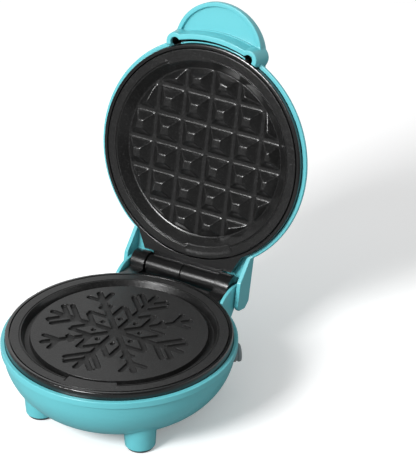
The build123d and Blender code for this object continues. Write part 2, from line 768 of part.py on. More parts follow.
with BuildPart() as upper_liner:
    with BuildSketch(LID):
        with BuildLine():
            Polyline(*block_outline, close=True)
        make_face()
    extrude(amount=BLOCK_DEPTH)
    side_prism(LID, link_outline, -BARREL_HALF_LENGTH, BARREL_HALF_LENGTH)
    hinge_cylinder(
        LID, lid_hinge_depth, BARREL_RADIUS, -BARREL_HALF_LENGTH, BARREL_HALF_LENGTH
    )
    with BuildSketch(side(LID).offset(-BARREL_SEAM / 2)):
        with Locations((hinge_y, lid_hinge_depth)):
            Rectangle(2 * BARREL_RADIUS + SLIP, 2 * BARREL_RADIUS + SLIP)
        with Locations((block_edge_y, LINK_DEPTH)):
            Rectangle(BARREL_RADIUS, BARREL_RADIUS, mode=Mode.SUBTRACT)
    extrude(amount=BARREL_SEAM, mode=Mode.SUBTRACT)
    hinge_cylinder(
        LID,
        lid_hinge_depth,
        PIN_RADIUS + FIT,
        -BARREL_HALF_LENGTH,
        BARREL_HALF_LENGTH,
        Mode.SUBTRACT,
    )
    with BuildSketch(LID):
        Circle(ring_bore_radius)
    extrude(amount=BLOCK_DEPTH, mode=Mode.SUBTRACT)
    liner_body(LID, lid_skirt)
    drill(LID, tray_top, ring_points(post_ring_radius, post_angles), SCREW_RADIUS + SLIP, TRAY_FLOOR)
    lid_posts = ring_points(lid_post_ring_radius, lid_post_angles)
    drill(LID, tray_top, lid_posts, SCREW_RADIUS + SLIP, TRAY_FLOOR)
    drill(LID, tray_top, ring_points(element_ring_radius, terminal_angles), terminal_hole, TRAY_FLOOR)
upper_liner.part.label = "upper_liner"
export_step(upper_liner.part, "parts/upper_liner.step")

# Hinge pin, held by the knuckles of the base, on which the barrel of the lid turns
with BuildPart() as hinge_pin:
    hinge_cylinder(BASE, base_hinge_depth, PIN_RADIUS, -PIN_HALF_LENGTH, PIN_HALF_LENGTH)
    chamfer(hinge_pin.edges().filter_by(GeomType.CIRCLE), PIN_RADIUS / 5)
hinge_pin.part.label = "hinge_pin"
export_step(hinge_pin.part, "parts/hinge_pin.step")

# Lid housing: the dome, the tongue handle at the front and the hood over the hinge
hood_outline = [
    (hood_front_y, LID_LIP_DEPTH),
    (hood_front_y + HOOD_TAPER, -HOOD_LEG_DROP),
    (hood_rear_y - WALL, -HOOD_LEG_DROP),
    (hood_rear_y, WALL - HOOD_LEG_DROP),
    (hood_rear_y, HOOD_TOP_DEPTH - HOOD_CHAMFER),
    (hood_rear_y - HOOD_CHAMFER, HOOD_TOP_DEPTH),
    (hood_front_y, HOOD_TOP_DEPTH),
]
hood_inside = [
    (hood_front_y - 3 * WALL, -2 * HOOD_LEG_DROP),
    (hood_rear_y + WALL, -2 * HOOD_LEG_DROP),
    (hood_rear_y + WALL, HOOD_REAR_WALL_DEPTH),
    (hood_rear_y - WALL, HOOD_REAR_WALL_DEPTH),
    (hood_rear_y - WALL, HOOD_TOP_DEPTH - HOOD_CHAMFER),
    (hood_rear_y - WALL - HOOD_CHAMFER / 2, HOOD_TOP_DEPTH - WALL),
    (hood_front_y - 3 * WALL, HOOD_TOP_DEPTH - WALL),
]
hood_outer_x = hood_half_width + HOOD_LEG_THICKNESS
tongue_fall = (TONGUE_ROOT_DEPTH - TONGUE_TIP_DEPTH) / TONGUE_REACH
tongue_back = [
    (TONGUE_REACH - tongue_centre_y, TONGUE_ROOT_DEPTH + TONGUE_REACH * tongue_fall),
    (-2 * TONGUE_REACH - tongue_centre_y, TONGUE_ROOT_DEPTH - 2 * TONGUE_REACH * tongue_fall),
    (-2 * TONGUE_REACH - tongue_centre_y, 3 * TONGUE_ROOT_DEPTH),
    (TONGUE_REACH - tongue_centre_y, 3 * TONGUE_ROOT_DEPTH),
]
slot_end_y = -slot_middle_radius * cos(asin(SLOT_END_X / slot_middle_radius))
slot_ends = [(SLOT_END_X, slot_end_y), (-SLOT_END_X, slot_end_y)]
recess_depth = TONGUE_FACE_DEPTH + TONGUE_RECESS
recess_inner_radius = bar_outer_radius + (BAR_FACE_RISE + recess_depth) * tan(radians(BAR_DRAFT))


def front_band(inner, outer, half_width):
    """A piece of ring at the front of the lid, cut off at each side."""
    Circle(outer)
    Circle(inner, mode=Mode.SUBTRACT)
    with Locations((0, -outer / 2)):
        Rectangle(2 * half_width, outer, mode=Mode.INTERSECT)


with BuildPart() as lid_housing:
    revolve_shell(LID, LID_SHELL)
    with BuildSketch(LID.offset(TONGUE_FACE_DEPTH)):
        with Locations((0, -tongue_centre_y)):
            Ellipse(TONGUE_HALF_WIDTH, TONGUE_REACH)
            Rectangle(
                2 * TONGUE_HALF_WIDTH,
                liner_radius,
                align=(Align.CENTER, Align.MIN),
                mode=Mode.SUBTRACT,
            )
        with Locations((0, -tongue_centre_y)):
            Rectangle(2 * TONGUE_HALF_WIDTH, 4 * WALL, align=(Align.CENTER, Align.MIN))
    extrude(amount=TONGUE_ROOT_DEPTH)
    with BuildSketch(LID.offset(-BAR_FACE_RISE)):
        front_band(slot_inner_radius - WALL, bar_outer_radius, SLOT_END_X)
        with Locations(*slot_ends):
            Circle(BAR_END_RADIUS)
    extrude(amount=TONGUE_ROOT_DEPTH, taper=-BAR_DRAFT)
    side_prism(LID, tongue_back, -2 * TONGUE_HALF_WIDTH, 2 * TONGUE_HALF_WIDTH, Mode.SUBTRACT)
    side_prism(LID, hood_outline, -hood_outer_x, hood_outer_x)
    with BuildSketch(LID.offset(BRIDGE_DEPTH)):
        Circle(slot_inner_radius)
    extrude(amount=-2 * BAR_FACE_RISE, mode=Mode.SUBTRACT)
    revolve_shell(LID, LID_SHELL)
    with BuildSketch(LID.offset(TONGUE_FACE_DEPTH)):
        with Locations((0, -tongue_centre_y)):
            Ellipse(TONGUE_HALF_WIDTH - TONGUE_RIM, TONGUE_REACH - TONGUE_RIM)
        Circle(recess_inner_radius, mode=Mode.SUBTRACT)
        with Locations((0, -tongue_centre_y)):
            Rectangle(
                4 * TONGUE_HALF_WIDTH,
                3 * TONGUE_REACH,
                align=(Align.CENTER, Align.MAX),
                mode=Mode.INTERSECT,
            )
    extrude(amount=TONGUE_RECESS, mode=Mode.SUBTRACT)
    with BuildSketch(LID.offset(-2 * BAR_FACE_RISE)):
        front_band(slot_inner_radius, bar_inner_radius, SLOT_END_X)
        with Locations(*slot_ends):
            Circle(SLOT_END_RADIUS)
    extrude(amount=SLOT_DEPTH + 2 * BAR_FACE_RISE, mode=Mode.SUBTRACT)
    revolve_shell(LID, LID_SHELL, WALL, -4 * HOOD_LEG_DROP, Mode.SUBTRACT)
    side_prism(LID, hood_inside, -hood_half_width, hood_half_width, Mode.SUBTRACT)
    with BuildSketch(LID.offset(TRAY_DEPTH)):
        with Locations(*lid_posts):
            Circle(BOSS_RADIUS)
    extrude(amount=lid_ceiling - TRAY_DEPTH + WALL / 2)
    drill(LID, TRAY_DEPTH, lid_posts, SCREW_RADIUS + FIT, SCREW_BITE + 1)
    bump(LID, lens_seat_depth, [(0, lens_y)], LENS_SEAT_RADIUS, lid_ceiling - lens_seat_depth + WALL / 2)
    drill(LID, lens_seat_depth, [(0, lens_y)], LENS_RADIUS + FIT, WALL + 2 * LID_CROWN)
lid_housing.part.label = "lid_housing"
export_step(lid_housing.part, "parts/lid_housing.step")



def element(frame, body_depth):
    """An open ring of sheathed tube with a pin at each end."""
    ring_depth = body_depth + ELEMENT_RADIUS - ELEMENT_SEAT
    with BuildSketch(section(frame, ELEMENT_GAP_ANGLE / 2 - 90.0)) as tube:
        with Locations((element_ring_radius, ring_depth)):
            Circle(ELEMENT_RADIUS)
    revolve(tube.sketch, axis=spin_axis(frame), revolution_arc=360.0 - ELEMENT_GAP_ANGLE)
    pins = ring_points(element_ring_radius, terminal_angles)
    bump(frame, ring_depth, pins, TERMINAL_RADIUS, TRAY_DEPTH + TERMINAL_LENGTH - ring_depth)


def shield(frame, holes):
    """A pressed ring that keeps the heat off the housing, with a turned-up inner edge."""
    shield_top = tray_top - SHIELD_THICKNESS
    with BuildSketch(section(frame)) as face:
        with BuildLine():
            Polyline(
                (shield_bore_radius, tray_top),
                (tray_room - SLIP, tray_top),
                (tray_room - SLIP, shield_top),
                (shield_bore_radius + SHIELD_THICKNESS, shield_top),
                (shield_bore_radius + SHIELD_THICKNESS, shield_top - SHIELD_RIM_HEIGHT),
                (shield_bore_radius, shield_top - SHIELD_RIM_HEIGHT),
                close=True,
            )
        make_face()
    revolve(face.sketch, axis=spin_axis(frame))
    drill(frame, shield_top, ring_points(post_ring_radius, post_angles), POST_RADIUS + SLIP, WALL)
    drill(frame, shield_top, ring_points(element_ring_radius, terminal_angles), terminal_hole, WALL)
    drill(frame, shield_top, holes, SCREW_HEAD_RADIUS + SLIP, WALL)


def screws(frame, seat_depth, points, shaft_length, upward):
    """Pan-head screws with a cross slot, driven up to the plate or down into the housing."""
    way = -1.0 if upward else 1.0
    with BuildSketch(frame.offset(seat_depth)) as shafts:
        with Locations(*points):
            Circle(SCREW_RADIUS)
    extrude(shafts.sketch, amount=way * shaft_length)
    with BuildSketch(frame.offset(seat_depth)) as heads:
        with Locations(*points):
            Circle(SCREW_HEAD_RADIUS)
    extrude(heads.sketch, amount=-way * SCREW_HEAD_HEIGHT)
    with BuildSketch(frame.offset(seat_depth - way * SCREW_HEAD_HEIGHT)) as slots:
        with Locations(*points):
            Rectangle(SCREW_HEAD_RADIUS, SCREW_RADIUS / 3)
            Rectangle(SCREW_RADIUS / 3, SCREW_HEAD_RADIUS)
    extrude(slots.sketch, amount=way * SCREW_HEAD_HEIGHT / 2, mode=Mode.SUBTRACT)


def lead(frame, points):
    """A round insulated wire along a bent path, given in the frame's own coordinates."""
    placed = [frame.from_local_coords(Vector(*point)) for point in points]
    with BuildLine() as path:
        FilletPolyline(*placed, radius=LEAD_BEND)
    with BuildSketch(Plane(origin=path.line @ 0, z_dir=path.line % 0)) as core:
        Circle(LEAD_RADIUS)
    sweep(core.sketch, path=path.line)


# Heating elements, pressed into the round seats on the backs of the plates
with BuildPart() as lower_heating_element:
    element(BASE, LOWER_PLATE_DEPTH)
lower_heating_element.part.label = "lower_heating_element"
export_step(lower_heating_element.part, "parts/lower_heating_element.step")

with BuildPart() as upper_heating_element:
    element(LID, UPPER_PLATE_DEPTH)
upper_heating_element.part.label = "upper_heating_element"
export_step(upper_heating_element.part, "parts/upper_heating_element.step")

# Heat shields, lying in the trays of the liners
post_points = ring_points(post_ring_radius, post_angles)

with BuildPart() as lower_heat_shield:
    shield(BASE, base_foot_points)
lower_heat_shield.part.label = "lower_heat_shield"
export_step(lower_heat_shield.part, "parts/lower_heat_shield.step")

with BuildPart() as upper_heat_shield:
    shield(LID, lid_posts)
upper_heat_shield.part.label = "upper_heat_shield"
export_step(upper_heat_shield.part, "parts/upper_heat_shield.step")

# Screws: three hold each plate to its liner, four close the base and four close the lid
with BuildPart() as lower_plate_screws:
    screws(BASE, TRAY_DEPTH, post_points, SCREW_BITE, True)
lower_plate_screws.part.label = "lower_plate_screws"
export_step(lower_plate_screws.part, "parts/lower_plate_screws.step")

with BuildPart() as upper_plate_screws:
    screws(LID, TRAY_DEPTH, post_points, SCREW_BITE, True)
upper_plate_screws.part.label = "upper_plate_screws"
export_step(upper_plate_screws.part, "parts/upper_plate_screws.step")

with BuildPart() as housing_screws:
    screws(BASE, RIM_HEIGHT - screw_seat, base_foot_points, pillar_top + SCREW_BITE - screw_seat, True)
housing_screws.part.label = "housing_screws"
export_step(housing_screws.part, "parts/housing_screws.step")

with BuildPart() as lid_screws:
    screws(LID, tray_top, lid_posts, TRAY_FLOOR + SCREW_BITE, False)
lid_screws.part.label = "lid_screws"
export_step(lid_screws.part, "parts/lid_screws.step")

# Thermostat and thermal fuse, which sit against the back of the lower plate
with BuildPart() as thermostat:
    bump(BASE, LOWER_PLATE_DEPTH, [(0, 0)], THERMOSTAT_RADIUS, THERMOSTAT_HEIGHT * 0.65)
    bump(BASE, LOWER_PLATE_DEPTH, [(0, 0)], THERMOSTAT_RADIUS * 0.75, THERMOSTAT_HEIGHT)
    with BuildSketch(BASE.offset(LOWER_PLATE_DEPTH)):
        SlotCenterToCenter(2 * THERMOSTAT_RADIUS + FUSE_RADIUS, 3 * FUSE_RADIUS)
    extrude(amount=SHIELD_THICKNESS)
    with BuildSketch(BASE.offset(LOWER_PLATE_DEPTH + THERMOSTAT_HEIGHT)):
        with Locations((THERMOSTAT_RADIUS / 2, 0), (-THERMOSTAT_RADIUS / 2, 0)):
            Rectangle(SHIELD_THICKNESS, THERMOSTAT_RADIUS * 0.7)
    extrude(amount=THERMOSTAT_HEIGHT / 2)
thermostat.part.label = "thermostat"
export_step(thermostat.part, "parts/thermostat.step")

with BuildPart() as thermal_fuse:
    with BuildSketch(side(BASE).offset(-FUSE_LENGTH / 2)):
        with Locations((FUSE_Y, LOWER_PLATE_DEPTH + FUSE_RADIUS + SEAT_GAP)):
            Circle(FUSE_RADIUS)
    extrude(amount=FUSE_LENGTH)
    with BuildSketch(side(BASE).offset(-FUSE_LENGTH)):
        with Locations((FUSE_Y, LOWER_PLATE_DEPTH + FUSE_RADIUS + SEAT_GAP)):
            Circle(FUSE_RADIUS / 4)
    extrude(amount=2 * FUSE_LENGTH)
    chamfer(
        thermal_fuse.edges().filter_by(GeomType.CIRCLE).group_by(SortBy.RADIUS)[-1],
        FUSE_RADIUS / 4,
    )
thermal_fuse.part.label = "thermal_fuse"
export_step(thermal_fuse.part, "parts/thermal_fuse.step")

# Terminal block under the tray of the lower liner, level with the pins of the element
pin_x, pin_y = ring_points(element_ring_radius, terminal_angles)[1]
pin_tip = TRAY_DEPTH + TERMINAL_LENGTH
lead_depth = pin_tip + LEAD_DROP

with BuildPart() as terminal_block:
    with BuildSketch(BASE.offset(TRAY_DEPTH)):
        with Locations((0, pin_y)):
            RectangleRounded(BLOCK_WIDTH, BLOCK_LENGTH, 1)
    extrude(amount=BLOCK_HEIGHT)
    wells = [(x * BLOCK_WELL_PITCH, pin_y) for x in (-1, 0, 1)]
    drill(BASE, TRAY_DEPTH + BLOCK_HEIGHT / 2, wells, BLOCK_WELL_RADIUS, BLOCK_HEIGHT)
terminal_block.part.label = "terminal_block"
export_step(terminal_block.part, "parts/terminal_block.step")

# Leads: from the pins of the lower element to the block, and from the gland to the block
with BuildPart() as element_leads:
    for hand in (-1, 1):
        lead(
            BASE,
            [
                (hand * pin_x, pin_y, pin_tip),
                (hand * pin_x, pin_y, lead_depth),
                (hand * BLOCK_WIDTH / 2, pin_y, lead_depth),
            ],
        )
element_leads.part.label = "element_leads"
export_step(element_leads.part, "parts/element_leads.step")

with BuildPart() as supply_leads:
    aside = Vector(-gland_direction.Y, gland_direction.X, 0)
    for hand in (-1, 1):
        start = gland_direction * gland_inner_end + aside * (hand * 1.5 * LEAD_RADIUS)
        bend = start - gland_direction * (2 * GLAND_RADIUS)
        end_x = BLOCK_WELL_PITCH - hand * 1.5 * LEAD_RADIUS
        end_y = pin_y + BLOCK_LENGTH / 2
        lead(
            BASE,
            [
                (-start.X, start.Y, GLAND_DEPTH),
                (-bend.X, bend.Y, GLAND_DEPTH),
                (-end_x, end_y + BLOCK_LENGTH, GLAND_DEPTH),
                (-end_x, end_y, GLAND_DEPTH),
            ],
        )
supply_leads.part.label = "supply_leads"
export_step(supply_leads.part, "parts/supply_leads.step")

# Cord gland at the rear right of the base, a stub with a groove and a blind bore for the cord
gland_start = gland_direction * gland_inner_end + Vector(0, 0, gland_height)
gland_plane = Plane(origin=gland_start, x_dir=(0, 0, 1), z_dir=gland_direction)
gland_length = gland_outer_end - gland_inner_end

with BuildPart() as cord_gland:
    with BuildSketch(gland_plane):
        Circle(GLAND_RADIUS)
    extrude(amount=gland_length)
    fillet(cord_gland.edges().sort_by(Axis(gland_start, gland_direction))[-1], GLAND_GROOVE)
    with BuildSketch(gland_plane.offset(gland_length)):
        Circle(GLAND_BORE_RADIUS)
    extrude(amount=-GLAND_BORE_DEPTH, mode=Mode.SUBTRACT)
    with BuildSketch(gland_plane.offset(gland_length - GLAND_LIP - GLAND_GROOVE)):
        Circle(GLAND_RADIUS + GLAND_GROOVE)
        Circle(GLAND_RADIUS - GLAND_GROOVE / 2, mode=Mode.SUBTRACT)
    extrude(amount=GLAND_GROOVE, mode=Mode.SUBTRACT)
cord_gland.part.label = "cord_gland"
export_step(cord_gland.part, "parts/cord_gland.step")

# Indicator on the lid: a clear lens through the top and the lamp behind it
lens_axis = LID.from_local_coords(Vector(0, lens_y, 0))
lens_face_depth = lens_seat_depth + (lid_ceiling - lens_seat_depth) + WALL + LENS_PROUD

with BuildPart() as indicator_lens:
    bump(LID, lens_seat_depth, [(0, lens_y)], LENS_RADIUS, lens_face_depth - lens_seat_depth)
    fillet(indicator_lens.edges().sort_by(Axis(lens_axis, LID.z_dir))[-1], LENS_PROUD)
    bump(LID, lens_seat_depth - LENS_FLANGE, [(0, lens_y)], LENS_SEAT_RADIUS - WALL / 2, LENS_FLANGE)
indicator_lens.part.label = "indicator_lens"
export_step(indicator_lens.part, "parts/indicator_lens.step")

lamp_back = lens_seat_depth - LENS_FLANGE - LAMP_LENGTH

with BuildPart() as indicator_lamp:
    bump(LID, lamp_back, [(0, lens_y)], LAMP_RADIUS, LAMP_LENGTH)
indicator_lamp.part.label = "indicator_lamp"
export_step(indicator_lamp.part, "parts/indicator_lamp.step")

# Leads of the lid, from the pins of the upper element to the lamp between them
with BuildPart() as lid_leads:
    for hand in (-1, 1):
        lead(
            LID,
            [
                (hand * pin_x, pin_y, pin_tip),
                (hand * pin_x, pin_y, pin_tip + LEAD_DROP / 2 + LEAD_RADIUS),
                (hand * (LAMP_RADIUS + SEAT_GAP), lens_y, pin_tip + LEAD_DROP / 2 + LEAD_RADIUS),
            ],
        )
lid_leads.part.label = "lid_leads"
export_step(lid_leads.part, "parts/lid_leads.step")
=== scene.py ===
"""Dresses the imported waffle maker: finishes for its pieces, soft studio light, floor and camera."""

import json
import logging
import math
from dataclasses import dataclass, field
from enum import Enum
from typing import Any

import bmesh
import bpy
import numpy as np
from mathutils import Euler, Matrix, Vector
from mathutils.bvhtree import BVHTree


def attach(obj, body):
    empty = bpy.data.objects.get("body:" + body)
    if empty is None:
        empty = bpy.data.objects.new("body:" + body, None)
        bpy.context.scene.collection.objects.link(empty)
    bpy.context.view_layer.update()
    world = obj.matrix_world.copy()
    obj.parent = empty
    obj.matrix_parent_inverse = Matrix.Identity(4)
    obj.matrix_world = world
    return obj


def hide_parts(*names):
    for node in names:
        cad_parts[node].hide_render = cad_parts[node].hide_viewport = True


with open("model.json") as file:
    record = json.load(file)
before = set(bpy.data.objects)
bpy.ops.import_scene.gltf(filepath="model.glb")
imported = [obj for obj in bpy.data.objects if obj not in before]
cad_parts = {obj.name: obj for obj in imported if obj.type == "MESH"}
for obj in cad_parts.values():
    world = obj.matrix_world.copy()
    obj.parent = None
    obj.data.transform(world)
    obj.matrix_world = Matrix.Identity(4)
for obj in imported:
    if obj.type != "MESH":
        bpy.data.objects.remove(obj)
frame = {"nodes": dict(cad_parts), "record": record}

logging.basicConfig(level=logging.INFO, format="%(message)s")
log = logging.getLogger("waffle_maker")

MM = 0.001
MERGE_GAP = 0.005 * MM
SHARP_ANGLE = math.radians(50.0)
OUTLINE_END = 70.0

Colour = tuple[float, float, float]
Point = tuple[float, float, float]
Materials = dict[str, bpy.types.Material]

BLACK: Colour = (0.0, 0.0, 0.0)
WHITE: Colour = (1.0, 1.0, 1.0)


class Body(Enum):
    """Rigid bodies of the frame."""

    BASE = "base"
    LID = "lid"


@dataclass(frozen=True)
class Half:
    """Frame of one half of the appliance: the plate's centre on its rim and two directions.

    The middle is in millimetres. Up is away from the hinge for the lid and towards it for the base.
    """

    middle: Point
    across: Point
    up: Point

    @property
    def down(self) -> np.ndarray:
        """The direction into the housing, square to the other two."""
        return -np.cross(np.array(self.across), np.array(self.up))

    def points(self, x: np.ndarray, y: np.ndarray, depth: np.ndarray) -> np.ndarray:
        """Middle plus x across, y up the plate and depth into the housing.

        Args:
            x: distances across the plate in millimetres.
            y: distances up the plate.
            depth: depths below the rim.

        Returns:
            One point for each entry, in metres.
        """
        directions = (x, np.array(self.across)), (y, np.array(self.up)), (depth, self.down)
        away = sum([np.multiply.outer(amount, direction) for amount, direction in directions])
        return (np.array(self.middle) + away) * MM

    def coordinates(self, points: np.ndarray) -> tuple[np.ndarray, np.ndarray]:
        """Radius from the plate's axis, and depth below its rim, both in millimetres.

        Args:
            points: places in metres, one to a row.

        Returns:
            The radii and the depths.
        """
        away = points / MM - np.array(self.middle)
        return np.hypot(away @ np.array(self.across), away @ np.array(self.up)), away @ self.down


BASE_HALF = Half((0.0, 0.0, 45.0), (1.0, 0.0, 0.0), (0.0, 1.0, 0.0))
LID_HALF = Half((0.0, 86.656, 111.114), (1.0, 0.0, 0.0), (0.0, 0.233445, 0.97237))


class Sock:
    """A shader socket whose operators add Math nodes, so that sums read as sums."""

    def __init__(self, graph: "Graph", socket: bpy.types.NodeSocket) -> None:
        """Keeps the graph that new nodes go into, and the output socket."""
        self.graph = graph
        self.socket = socket

    def _math(
        self, operation: str, first: "Sock | float", second: "Sock | float | None" = None
    ) -> "Sock":
        """Adds one Math node.

        Args:
            operation: the Math node's operation.
            first: its first value.
            second: its second value, left out for one-sided operations.

        Returns:
            The node's value.
        """
        inputs = {0: first} if second is None else {0: first, 1: second}
        return self.graph.node("ShaderNodeMath", {"operation": operation}, inputs)

    def __add__(self, other: "Sock | float") -> "Sock":
        """self + other."""
        return self._math("ADD", self, other)

    __radd__ = __add__

    def __sub__(self, other: "Sock | float") -> "Sock":
        """self - other."""
        return self._math("SUBTRACT", self, other)

    def __rsub__(self, other: "Sock | float") -> "Sock":
        """other - self."""
        return self._math("SUBTRACT", other, self)

    def __mul__(self, other: "Sock | float") -> "Sock":
        """self * other."""
        return self._math("MULTIPLY", self, other)

    __rmul__ = __mul__

    def __truediv__(self, other: "Sock | float") -> "Sock":
        """self / other."""
        return self._math("DIVIDE", self, other)

    def __rtruediv__(self, other: "Sock | float") -> "Sock":
        """other / self."""
        return self._math("DIVIDE", other, self)

    def __abs__(self) -> "Sock":
        """self without its sign."""
        return self._math("ABSOLUTE", self)

    def root(self) -> "Sock":
        """Square root of self."""
        return self._math("SQRT", self)

    def above(self, level: "Sock | float") -> "Sock":
        """1 where self is greater than level, else 0."""
        return self._math("GREATER_THAN", self, level)

    def clamped(self) -> "Sock":
        """self held between 0 and 1."""
        return self._math("MAXIMUM", self._math("MINIMUM", self, 1.0), 0.0)

    def swing(self, amount: float) -> "Sock":
        """How far self, such as a noise, is from its middle value 0.5, times an amount."""
        return (self - 0.5) * amount


class Graph:
    """The node tree of one material, or of the world."""

    def __init__(self, owner: bpy.types.Material | bpy.types.World) -> None:
        """Starts an empty node tree.

        Args:
            owner: the new material or world.
        """
        self.owner = owner
        owner.use_nodes = True
        self.tree = owner.node_tree
        self.tree.nodes.clear()

    def node(
        self, kind: str, settings: dict[str, Any] | None = None,
        inputs: dict[int | str, Any] | None = None, output: int | str = 0,
    ) -> Sock:
        """Adds a node, sets it up and links its sockets.

        Args:
            kind: the node's type name.
            settings: its properties.
            inputs: values or Socks for its inputs, by index or name.
            output: the output that is returned.

        Returns:
            The chosen output, or None wrapped where the node has none.
        """
        made = self.tree.nodes.new(kind)
        for key, value in (settings or {}).items():
            setattr(made, key, value)
        for key, value in (inputs or {}).items():
            if isinstance(value, Sock):
                self.tree.links.new(value.socket, made.inputs[key])
            else:
                made.inputs[key].default_value = value
        return Sock(self, made.outputs[output] if made.outputs else None)

    def place(self) -> Sock:
        """Object coordinates, in metres."""
        return self.node("ShaderNodeTexCoord", output="Object")

    def part(self, vector: Sock, axis: str) -> Sock:
        """The X, Y or Z part of a vector."""
        return self.node("ShaderNodeSeparateXYZ", {}, {"Vector": vector}, axis)

    def ray(self, kind: str) -> Sock:
        """1 for rays of a kind, such as Is Camera Ray, else 0."""
        return self.node("ShaderNodeLightPath", output=kind)

    def axes(self, half: Half) -> tuple[Sock, Sock, Sock]:
        """Where a point lies in a half: its offset from the middle along each direction.

        Args:
            half: the half.

        Returns:
            The distances across, up and down from the middle, in metres.
        """
        middle = tuple(value * MM for value in half.middle)
        away = self.node(
            "ShaderNodeVectorMath", {"operation": "SUBTRACT"}, {0: self.place(), 1: middle}
        )
        return tuple(
            self.node(
                "ShaderNodeVectorMath", {"operation": "DOT_PRODUCT"}, {0: away, 1: axis}, "Value"
            )
            for axis in (half.across, half.up, tuple(half.down))
        )

    def noise(self, size: float, detail: float = 3.0, roughness: float = 0.55) -> Sock:
        """Fractal noise with features of about the given size.

        Args:
            size: feature size in metres.
            detail: number of octaves.
            roughness: how strong the fine octaves are.

        Returns:
            A value around 0.5.
        """
        return self.node(
            "ShaderNodeTexNoise", {},
            {"Vector": self.place(), "Scale": 1.0 / size, "Detail": detail, "Roughness": roughness},
            "Fac",
        )

    def blend(self, mask: Sock, low: Colour | Sock, high: Colour | Sock) -> Sock:
        """Mixes two colours by a mask.

        Args:
            mask: 0 for the first colour, 1 for the second.
            low: the first colour.
            high: the second colour.

        Returns:
            The mixed colour.
        """
        first, second = (end if isinstance(end, Sock) else (*end, 1.0) for end in (low, high))
        return self.node("ShaderNodeMix", {"data_type": "RGBA"}, {0: mask, 6: first, 7: second}, 2)

    def bump(self, height: Sock, distance: float) -> Sock:
        """Turns a height of about 0 to 1 into a normal; 1 stands for the distance, in metres."""
        return self.node("ShaderNodeBump", {}, {"Height": height, "Distance": distance}, "Normal")

    def surface(self, inputs: dict[str, Any]) -> bpy.types.Material:
        """Ends the graph in a Principled shader.

        Args:
            inputs: values or Socks for the shader's inputs.

        Returns:
            The finished material.
        """
        shader = self.node("ShaderNodeBsdfPrincipled", {}, inputs)
        self.node("ShaderNodeOutputMaterial", {}, {"Surface": shader})
        return self.owner


def linear(red: float, green: float, blue: float) -> Colour:
    """Turns display values of 0 to 1 into scene values.

    Args:
        red, green, blue: the colour as it looks on a screen.

    Returns:
        The same colour in linear light, by the sRGB curve.
    """
    values = []
    for value in (red, green, blue):
        values.append(value / 12.92 if value < 0.04045 else ((value + 0.055) / 1.055) ** 2.4)
    return tuple(values)


@dataclass(frozen=True)
class Finish:
    """What every finish has: a material name, a colour in linear light and a roughness."""

    name: str
    colour: Colour
    roughness: float

    def tinted(self, gain: float, lift: float = 0.0) -> Colour:
        """The colour times a gain, plus a lift."""
        return tuple(value * gain + lift for value in self.colour)

    def build(self) -> bpy.types.Material:
        """Makes the material, each finish in its own way."""
        raise NotImplementedError(self.name)


@dataclass(frozen=True)
class MouldedPlastic(Finish):
    """Injection-moulded plastic: a fine spark-eroded grain and slight unevenness of gloss."""

    grain: float = 0.0004
    relief: float = 0.000012
    coat: float = 0.0
    coat_roughness: float = 0.25
    cloud: float = 0.03
    shade: float = 0.93
    grain_gloss: float = 0.16
    cloud_gloss: float = 0.08

    def tone(self, graph: Graph, cloud: Sock) -> Sock:
        """The colour, a shade darker in patches."""
        return graph.blend(cloud, self.tinted(self.shade), self.colour)

    def build(self) -> bpy.types.Material:
        """Makes the material.

        Returns:
            The material.
        """
        graph = Graph(bpy.data.materials.new(self.name))
        cloud = graph.noise(self.cloud, 2.0)
        grain = graph.noise(self.grain, 2.0, 0.6)
        uneven = grain.swing(self.grain_gloss) + cloud.swing(self.cloud_gloss)
        return graph.surface({
            "Base Color": self.tone(graph, cloud),
            "Roughness": self.roughness + uneven,
            "Coat Weight": self.coat,
            "Coat Roughness": self.coat_roughness,
            "Normal": graph.bump(grain, self.relief),
        })


@dataclass(frozen=True)
class SlottedPlastic(MouldedPlastic):
    """The lid's plastic, with painted shade down the slot under the handle: a near-black colour where
    the slot only lies in shade.

    The slot is the ring between two radii round the plate, with a round hole at either end, given
    as its distances across and up from the middle and its own radius. Below a depth it is painted
    near black, as shade.
    """

    radii: tuple[float, float] = (62.2, 63.8)
    end: tuple[float, float, float] = (22.5, 58.85, 2.8)
    below: float = 0.25
    # painted shade: the near-black colour of the slot's depths
    painted_slot_shade: Colour = (0.004, 0.004, 0.004)

    def tone(self, graph: Graph, cloud: Sock) -> Sock:
        """The plain plastic's colour, with painted shade, near black, where the slot's mask is 1.

        Args:
            graph: the material's graph.
            cloud: the noise that shades the plain plastic.

        Returns:
            The colour.
        """
        across, up, down = graph.axes(LID_HALF)
        inner, outer = (value * MM for value in self.radii)
        reach, height, hole_radius = (value * MM for value in self.end)
        radius = (across * across + up * up).root()
        aside = abs(across)
        beyond, above = aside - reach, up - height
        hole = (hole_radius ** 2 - (beyond * beyond + above * above)).above(0.0)
        ring = radius.above(inner) * (outer - radius).above(0.0)
        ring = ring * (reach - aside).above(0.0) * up.above(0.0)
        # mask of the painted shade: the slot and its end holes, below the depth
        mask = (hole + ring).clamped() * down.above(self.below * MM)
        return graph.blend(mask, super().tone(graph, cloud), self.painted_slot_shade)


